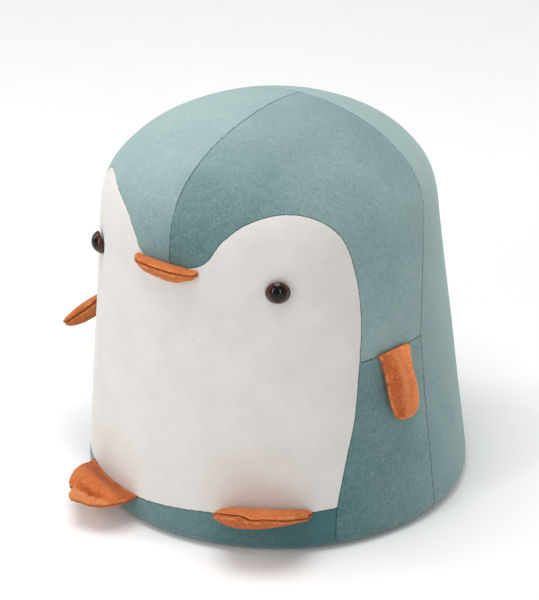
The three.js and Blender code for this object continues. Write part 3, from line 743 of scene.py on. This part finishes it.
def wing_place(side, size):
    sign = 1 if side == "left" else -1
    wall_x = HALF_WIDTH - 22  # about where the wall is at that height
    z = SIDE_SEAM[side] + SKEW * sign * wall_x
    wall = cast(np.array([0.0, WING_Y[side], z]), np.array([sign, 0.0, 0.0]))
    out = unit(normals(wall[None])[0] * (1, 1, 0))
    along = np.cross([0, 0, 1], out) * sign
    middle = wall + out * ROOT_STAND
    hang = rotated(out, WING_LIFT[side] - 90)
    outward = np.cross(hang, along)
    outward = outward if outward @ (middle * (1, 1, 0)) > 0 else -outward
    return lambda u: middle + along * np.asarray(u)[..., None] * size["half_width"], hang, outward


def foot_place(side):
    sign, inner, outer, toe_in, lift = FOOT_SEATS[side]
    reach = rotated((sign * toe_in, -math.sqrt(1 - toe_in**2), 0), lift)

    def root(u):
        seam = below_belly(sign * (inner + (outer - inner) * (1 + np.asarray(u)) / 2))
        return seam + normals(seam) * ROOT_STAND

    ends = root(np.array([-1.0, 1.0]))
    up = unit(np.cross(reach, unit(ends[1] - ends[0])))
    return root, reach, up if up[2] > 0 else -up


def beak_place():
    middle, height, slope = BEAK_SEAT

    def root(u):
        x = middle + BEAK["half_width"] * np.asarray(u)
        seam = on_front(x, height + slope * x)
        return seam + normals(seam) * (ROOT_STAND - 1)

    return root, np.array([0.0, -1.0, 0.0]), np.array([0.0, 0.0, 1.0])


def flap_outline(half, length, squareness):
    u = np.sin(np.linspace(-math.pi / 2, math.pi / 2, 240)) * FLAP_EDGE
    curve = np.stack([u * half, length * (1 - np.abs(u) ** squareness) ** (1 / squareness)], axis=-1)
    edge = half * FLAP_EDGE
    start = [(-edge + 1, -SEWN_IN), (-edge, 1 - SEWN_IN)]
    end = [(edge, 1 - SEWN_IN), (edge - 1, -SEWN_IN)]
    ring = np.vstack([start, curve, end])
    closed = np.vstack([ring, ring[:1]])
    reach = np.concatenate([[0], np.cumsum(np.linalg.norm(np.diff(closed, axis=0), axis=1))])
    t = np.linspace(0, reach[-1], round(reach[-1] / CELL), endpoint=False)
    return np.stack([np.interp(t, reach, closed[:, k]) for k in range(2)], axis=-1)


def in_outline(points, ring):
    x, y = points[:, :1], points[:, 1:]
    x0, y0 = ring[:, 0], ring[:, 1]
    x1, y1 = np.roll(x0, -1), np.roll(y0, -1)
    crossing = ((y0 > y) != (y1 > y)) & (x < (x1 - x0) * (y - y0) / np.where(y1 == y0, 1e-9, y1 - y0) + x0)
    return crossing.sum(axis=1) % 2 == 1


def flap_pattern(half, length, squareness):
    """Two equal pieces joined along their rim: points, faces, and the numbers of upper faces and rim points."""
    ring = flap_outline(half, length, squareness)
    rows = np.arange(-SEWN_IN, length + CELL, CELL * 0.87)
    columns = np.arange(-half - CELL, half + CELL, CELL)
    spots = [(x + (CELL / 2 if j % 2 else 0), y) for j, y in enumerate(rows) for x in columns]
    spots = np.array(spots)
    clear = np.linalg.norm(spots[:, None] - ring[None], axis=-1).min(axis=1) > CELL * 0.62
    spots = spots[in_outline(spots, ring) & clear]
    flat = np.vstack([ring, spots])
    rim = len(ring)
    borders = [(i, (i + 1) % rim) for i in range(rim)]
    laid = geometry.delaunay_2d_cdt([Vector(p) for p in flat], borders, [], 1, 1e-6)
    triangles = [f for f in laid[2] if min(len(set(f)), 3) == 3 and not all(i < rim for i in f)]
    used = sorted({i for f in triangles for i in f})
    order = {old: new for new, old in enumerate([i for i in used if i < rim] + [i for i in used if i >= rim])}
    flat = np.array([tuple(laid[0][i]) for i in order])
    rim = sum(i < rim for i in used)
    triangles = [[order[i] for i in f] for f in triangles]
    lift = len(flat) - rim
    under = [[i if i < rim else i + lift for i in f][::-1] for f in triangles]
    depth_in = np.linalg.norm(flat[rim:, None] - ring[None], axis=-1).min(axis=1)
    bulge = 0.5 * (1 - np.exp(-depth_in / 3))
    points = np.zeros((len(flat) + lift, 3))
    points[: len(flat), :2] = flat
    points[len(flat) :, :2] = flat[rim:]
    points[rim : len(flat), 2] = bulge
    points[len(flat) :, 2] = -bulge
    return points, triangles + under, len(triangles), rim


def start_flap(name, size, blank):
    points, faces, upper, rim = flap_pattern(size["half_width"], size["length"], size["squareness"])
    made = make_object(name, points * MM * SPREAD, faces, blank)
    made.data.materials.append(blank)
    layer = [0] * upper + [1] * (len(faces) - upper)
    made.data.polygons.foreach_set("material_index", layer)
    held = made.vertex_groups.new(name="sewn")
    held.add([i for i, p in enumerate(points) if p[1] < 0.6 - SEWN_IN], 1.0, "REPLACE")
    edge = made.vertex_groups.new(name="rim")
    edge.add(list(range(rim)), 1.0, "REPLACE")
    cloth = made.modifiers.new("stuffing", "CLOTH")
    cloth.settings.quality = 6
    cloth.settings.mass = 0.3
    cloth.settings.tension_stiffness = 12
    cloth.settings.compression_stiffness = 12
    cloth.settings.shear_stiffness = 4
    cloth.settings.bending_stiffness = 0.35
    cloth.settings.use_pressure = True
    cloth.settings.uniform_pressure_force = 4.0
    cloth.settings.effector_weights.gravity = 0
    cloth.settings.vertex_group_mass = "sewn"
    cloth.point_cache.frame_start = 1
    cloth.point_cache.frame_end = MOMENTS
    return made


def applied(made):
    graph = bpy.context.evaluated_depsgraph_get()
    mesh = bpy.data.meshes.new_from_object(made.evaluated_get(graph), depsgraph=graph)
    made.modifiers.clear()
    made.data = mesh


def coordinates(mesh):
    flat = np.empty(len(mesh.vertices) * 3)
    mesh.vertices.foreach_get("co", flat)
    return flat.reshape(-1, 3)


def vertex_normals(mesh):
    flat = np.empty(len(mesh.vertices) * 3, np.float32)
    mesh.vertex_normals.foreach_get("vector", flat)
    return flat.reshape(-1, 3).astype(float)


def fitted(points, size):
    """Brings an inflated flap back to its outline and thickness."""
    half, length = size["half_width"] * FLAP_EDGE, size["length"]
    a, b, c = points.T
    a = a * half / np.abs(a).max()
    b = (b + SEWN_IN) * (length + SEWN_IN) / (b.max() + SEWN_IN) - SEWN_IN
    c = np.where(c > 0, c / c.max(), c / -c.min())
    c = np.sign(c) * np.abs(c) ** size["fullness"] * np.where(c > 0, size["rise"], size["sag"])
    if size["pinch"]:
        pinch = np.where(c > 0, size["pinch"], size.get("under_pinch", size["pinch"]))
        open_share = np.clip((b + 1.5) / pinch, 0, 1)
        c = c * (0.16 + 0.84 * open_share**2 * (3 - 2 * open_share))
    return np.stack([a, b, c], axis=-1)


def finish_flap(made, name, faces, body, size, place, creases, sway, bend):
    """Turns an inflated flap into its two skins and its filling, shaped, laid in place and set on its body."""
    root, reach, up = place

    def laid(local):
        across, out, high = local.T
        high = high + bend(across / size["half_width"], out / size["length"])
        return root(across / size["half_width"]) + reach * out[:, None] + up * high[:, None]

    def settle(piece, node):
        if body == "body":
            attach(piece, "body")
        else:
            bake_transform(piece)
        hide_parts(node)

    hinge = root(np.array([0.0]))[0]
    mesh_points = fitted(coordinates(made.data) / (MM * SPREAD), size)
    middle = np.array([0, 0.52 * size["length"], 0])
    stuffing = middle + (mesh_points - middle) * (0.74, 0.66, 0.28)
    pad_faces = [tuple(p.vertices) for p in made.data.polygons]
    pad = make_object(name + "_pad", to_frame(laid(stuffing)), pad_faces, fluff)
    settle(pad, name + "_filling")
    made.data.vertices.foreach_set("co", mesh_points.ravel())
    smoother = made.modifiers.new("smooth", "SUBSURF")
    smoother.levels = 2
    smoother.boundary_smooth = "PRESERVE_CORNERS"
    applied(made)
    mesh = made.data
    points = coordinates(mesh)
    outward = vertex_normals(mesh)
    group = made.vertex_groups["rim"].index
    on_rim = np.array([any(g.group == group and g.weight > 0.97 for g in v.groups) for v in mesh.vertices])
    gap, foot = nearest(points, points[on_rim])
    gathers = noise_at(foot, 3.2, 2.0) + 0.7 * noise_at(foot, 7.0, 8.0)
    lip = 0.55 * np.exp(-((gap - 2.0) / 1.1) ** 2) - 0.95 * np.exp(-((gap / 0.75) ** 2))
    puckers = 0.2 * gathers * np.exp(-((gap - 2.4) / 2.2) ** 2)
    dents = 0.25 * noise_at(points, 12.0, 5.0) * (1 - np.exp(-gap / 4))
    height = lip + puckers + dents
    folds = sum((crease(points) for crease in creases), 0 * gap)
    height += folds
    # Painted shade for the suede: folds that sink in, and the valley where a pinched face opens out from its
    # root, are coloured darker.
    painted_hollow_shade = np.maximum(-folds, 0)
    if size["pinch"]:
        valley = size.get("under_pinch", size["pinch"])
        painted_hollow_shade += 0.15 * valley * step(0.68 * valley - points[:, 1], 0, 0.08 * valley)
    moved = points + outward * height[:, None]
    rim_sway = RIM_WAVE * noise_at(foot * (1, 1, 0), 16.0, 6.0) + sway(moved[:, 0] / size["half_width"])
    if name == "foot_right":
        moved = flared(moved)
    moved[:, 2] += rim_sway * np.exp(-gap / 7) * np.clip(moved[:, 1] / 8, 0, 1)
    layers = np.empty(len(mesh.polygons), int)
    mesh.polygons.foreach_get("material_index", layers)
    polygons = [tuple(p.vertices) for p in mesh.polygons]
    for layer, face in enumerate(faces):
        chosen = [p for p, which in zip(polygons, layers) if which == layer]
        used = sorted({i for p in chosen for i in p})
        order = {old: new for new, old in enumerate(used)}
        folded, skirt = seam_allowance(chosen, used, order)
        away = np.array([0, 0, 1.0 if layer == 0 else -1.0])
        turned_in = moved[folded] - outward[folded] * 1.8 - away * 0.03
        local = np.vstack([moved[used], turned_in]) + away * 0.05
        faces_in = [[order[i] for i in p] for p in chosen] + skirt
        cloth = shaded_suedes.get(f"{name}_{face}", orange)
        piece = make_object(f"{name}_{face}_skin", to_frame(laid(local)), faces_in, cloth)
        # The fold attribute carries the painted shade; raised marks the ridges that get a painted highlight.
        for label, values in (("seam", gap), ("fold", painted_hollow_shade), ("raised", np.maximum(folds, 0))):
            give(piece, label, np.concatenate([values[used], np.zeros(len(folded))]))
        settle(piece, f"{name}_{face}")
    bpy.data.objects.remove(made)


def seam_allowance(polygons, used, order):
    """The rim vertices that get a copy turned in behind the seam, and the strip of faces that joins them."""
    once = {}
    for p in polygons:
        for a, b in zip(p, p[1:] + p[:1]):
            if (b, a) in once:
                del once[b, a]
            else:
                once[a, b] = True
    folded = sorted({i for edge in once for i in edge})
    copy = {old: len(used) + k for k, old in enumerate(folded)}
    return folded, [[order[b], order[a], copy[a], copy[b]] for a, b in once]


def lengthwise_ridge(points):
    """A soft ridge down the middle of the left wing's outer face."""
    off = points[:, 0] + 1.5
    return np.where(points[:, 2] > 0, 0.5 * np.exp(-((off / 4.0) ** 2)), 0)


def step(value, middle, width):
    return 1 / (1 + np.exp((middle - value) / width))


def toe_shape(points):
    """The share of the toe that rolls up into a lip, and how far each point is from the toe's front edge."""
    u = points[:, 0] / FOOT_RIGHT["half_width"]
    front = FOOT_RIGHT["length"] * np.maximum(0, 1 - np.abs(u) ** 2.3) ** (1 / 2.3)
    return u, step(u, -0.6, 0.07) * step(-u, -0.2, 0.05), front - points[:, 1]


def rolled_lip(points):
    """The middle of the toe's front turned up into a lip, with a fold behind it."""
    _, share, back_from_edge = toe_shape(points)
    fold = -3.0 * np.exp(-(((back_from_edge - 8.6) / 2.5) ** 2))
    lip = 2.6 * np.exp(-(((back_from_edge - 3.4) / 2.8) ** 2))
    return np.where(points[:, 2] > 0, share * (fold + lip), 0)


def lower_lip(points):
    """A ridge along the underside of the beak, which the suede paints paler as a highlight."""
    off = points[:, 2] + 6.2 - 2.0 * (points[:, 0] / 30) ** 2
    return 0.6 * np.exp(-((off / 0.9) ** 2)) * step(points[:, 1], 2.5, 0.6)


def flared(points):
    """Pushes the lip forward at its outer end and draws the edge in beside it."""
    u, _, back_from_edge = toe_shape(points)
    push = 5.0 * np.exp(-(((u - 0.04) / 0.15) ** 2)) - 4.0 * np.exp(-(((u - 0.3) / 0.09) ** 2))
    return points + np.outer(push * np.exp(-((back_from_edge / 7.0) ** 2)), (0, 1, 0))


def near_toe_sway(u):
    """The rim runs high over the inner half, drops in a kink and runs on lower and lower."""
    return (4.6 * step(-u, 0.05, 0.04) + 1.9) * np.clip((1 + u) / 0.3, 0, 1) - 7 * np.maximum(0, u - 0.3)


def beak_sway(u):
    return 2.4 * (1 - u**2)


def wing_sway(u):
    return np.sin(4 * u)


def unbent(u, v=0):
    return 0 * u


def curled(u, v):
    """The wing hangs from its seam, swings out towards the tip and lifts its front edge."""
    return -7.8 * v * (1 - v) + 1.2 * v**2 - 3.6 * u * np.clip(2 * v, 0, 1)


flaps = [
    ("wing_left", WING_LEFT, wing_place("left", WING_LEFT), [lengthwise_ridge], unbent, unbent),
    ("wing_right", WING_RIGHT, wing_place("right", WING_RIGHT), [], wing_sway, curled),
    ("foot_left", FOOT_LEFT, foot_place("left"), [], near_toe_sway, unbent),
    ("foot_right", FOOT_RIGHT, foot_place("right"), [rolled_lip], unbent, unbent),
    ("beak", BEAK, beak_place(), [lower_lip], beak_sway, unbent),
]
FACES = {"wing": ("outer", "inner"), "foot": ("top", "sole"), "beak": ("upper", "lower")}
started = [start_flap(name + "_blank", size, orange) for name, size, *_ in flaps]
for moment in range(1, MOMENTS + 1):
    bpy.context.scene.frame_set(moment)
for blank in started:
    applied(blank)
bpy.context.scene.frame_set(1)
for blank, (name, *shape) in zip(started, flaps):
    finish_flap(blank, name, FACES[name.split("_")[0]], "body" if name == "beak" else name, *shape)

# ---- Eyes ----------------------------------------------------------------------------------------


def turned(name, outline, origin, axis, material, segments=64):
    """A turned piece about a line, from its outline of (radius, along) points in millimetres."""
    axis = unit(axis)
    side_way = unit(np.cross(axis, [0.0, 0.0, 1.0]))
    up_way = np.cross(side_way, axis)
    angle = np.linspace(0, 2 * math.pi, segments, endpoint=False)
    ways = np.cos(angle)[:, None] * side_way + np.sin(angle)[:, None] * up_way
    inner = outline[1:-1]
    points = [origin + axis * outline[0][1]]
    for radius, along in inner:
        points += list(origin + axis * along + ways * radius)
    points.append(origin + axis * outline[-1][1])
    faces = []
    for k in range(segments):
        nxt = (k + 1) % segments
        faces.append((0, 1 + k, 1 + nxt))
        for j in range(len(inner) - 1):
            row = 1 + j * segments
            faces.append((row + k, row + segments + k, row + segments + nxt, row + nxt))
        last = 1 + (len(inner) - 1) * segments
        faces.append((last + k, len(points) - 1, last + nxt))
    made = make_object(name, to_frame(np.array(points)), faces, material)
    mesh = made.data
    if sum(p.normal @ (p.center - Vector(to_frame(origin + axis * 2))) for p in mesh.polygons) < 0:
        mesh.flip_normals()
    return made


EYE_RADIUS = 10.2
EYE_HEIGHT = 7.6
PUPIL_RADIUS = 6.6
EYE_STAND = {"left": 1.3, "right": 0.9}  # above the cloth round the eye
PUPIL_OFF = {"left": (0.0, 0, 2.1), "right": (1.9, 0, 1.6)}  # where the pupil shows through the lens
EYE_BACK = [  # the plate and its shank
    (0, -0.05), (9.4, -0.05), (9.7, -0.25), (9.7, -0.7), (9.2, -1.0), (2.6, -1.1), (2.4, -2.2),
    (2.4, -14.4), (0, -14.6),
]

lens = Surface("eye_lens", Roughness=0.035, IOR=1.36)
from_middle = lens.node("Attribute", attribute_name="from_middle").outputs["Fac"]
streak = lens.noise(3, 2)
ring = lens.mix(streak, (0.05, 0.013, 0.009, 1), (0.085, 0.026, 0.017, 1))
rim_dark = lens.remap(from_middle, 8.6, 10.1)
ring = lens.mix(rim_dark, ring, (0.022, 0.007, 0.006, 1))
in_pupil = lens.remap(from_middle, PUPIL_RADIUS + 0.4, PUPIL_RADIUS)
lens.connect("Base Color", lens.mix(in_pupil, ring, (0.003, 0.003, 0.0035, 1)))
lens.connect("Roughness", lens.remap(lens.noise(6, 2), 0.3, 0.7, 0.03, 0.045))
iris_brown = plain("iris", (0.05, 0.016, 0.01), 0.35, 0.02, spread=0.3)

for side, (seat, azimuth, droop) in EYES.items():
    turn, nod = math.radians(azimuth), math.radians(droop)
    axis = unit(np.array([math.sin(turn), -math.cos(turn), -math.tan(nod)]))
    origin = seat + normals(seat[None])[0] * (EYE_STAND[side] + unevenness(seat[None])[0])
    bulge = (EYE_RADIUS**2 + EYE_HEIGHT**2) / (2 * EYE_HEIGHT)
    sweep = math.asin(min(1, EYE_RADIUS / bulge))
    arc = [(bulge * math.sin(t), EYE_HEIGHT - bulge * (1 - math.cos(t))) for t in np.linspace(0, sweep, 36)]
    edge = [(EYE_RADIUS, 0.5), (EYE_RADIUS - 0.1, 0.15), (EYE_RADIUS - 0.5, 0.05), (0, 0.05)]
    dome = [(0, EYE_HEIGHT)] + arc[1:-1] + edge
    shell = turned(f"eye_{side}_dome", dome, origin, axis, lens.material)
    spots = coordinates(shell.data) / MM - (0, 0, STAND) - origin - PUPIL_OFF[side]
    give(shell, "from_middle", np.linalg.norm(spots - (spots @ axis)[:, None] * axis, axis=1))
    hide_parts(f"eye_{side}_lens")
    plate = turned(f"eye_{side}_back_plate", EYE_BACK, origin, axis, iris_brown)
    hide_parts(f"eye_{side}_back")
    for piece in (shell, plate):
        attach(piece, "body")

# ---- Carried-over parts --------------------------------------------------------------------------


def finish_nodes(prefixes, material):
    for name, made in nodes.items():
        if name.startswith(prefixes):
            made.data.materials.clear()
            made.data.materials.append(material)


wood = Surface("plywood", Roughness=0.65)
grain = wood.noise(6, 4.0, 0.6, wood.along((0.995, 0.1, 0), 8), 1.5)
wood.connect("Base Color", wood.mix(grain, (0.42, 0.27, 0.13, 1), (0.66, 0.48, 0.28, 1)))
wood.bump([(grain, 0.3, 0.2)])
cloth_weave = Surface("base_cloth", Roughness=0.95)
fibres = cloth_weave.noise(1.2, 4.0, 0.7)
cloth_weave.connect("Base Color", cloth_weave.mix(fibres, (0.012, 0.012, 0.013, 1), (0.045, 0.045, 0.048, 1)))
cloth_weave.bump([(fibres, 0.6, 0.3)])
finish_nodes(("wadding",), fluff)
finish_nodes(("foam_core",), plain("foam", (0.75, 0.66, 0.42), 0.95, 0.6, 1.0))
finish_nodes(("base_board",), wood.material)
finish_nodes(("base_cloth",), cloth_weave.material)
black_plastic = plain("black_plastic", (0.015, 0.015, 0.016), 0.42, 0.05)
finish_nodes(("glide_front", "glide_rear", "eye_left_washer", "eye_right_washer"), black_plastic)
finish_nodes(("glide_screw",), plain("steel", (0.55, 0.55, 0.57), 0.35, 0.02, metallic=1.0))

# ---- Floor ---------------------------------------------------------------------------------------

floor_surface = Surface("floor", Roughness=0.75, Specular_IOR_Level=0.2)
speck = floor_surface.noise(60, 3.0)
floor_surface.connect("Base Color", floor_surface.mix(speck, (0.93, 0.93, 0.93, 1), (0.95, 0.95, 0.95, 1)))
reach = 8.0
corners = [(-reach, -reach, 0), (reach, -reach, 0), (reach, reach, 0), (-reach, reach, 0)]
floor = make_object("floor", corners, [(0, 1, 2, 3)], floor_surface.material, smooth=False)
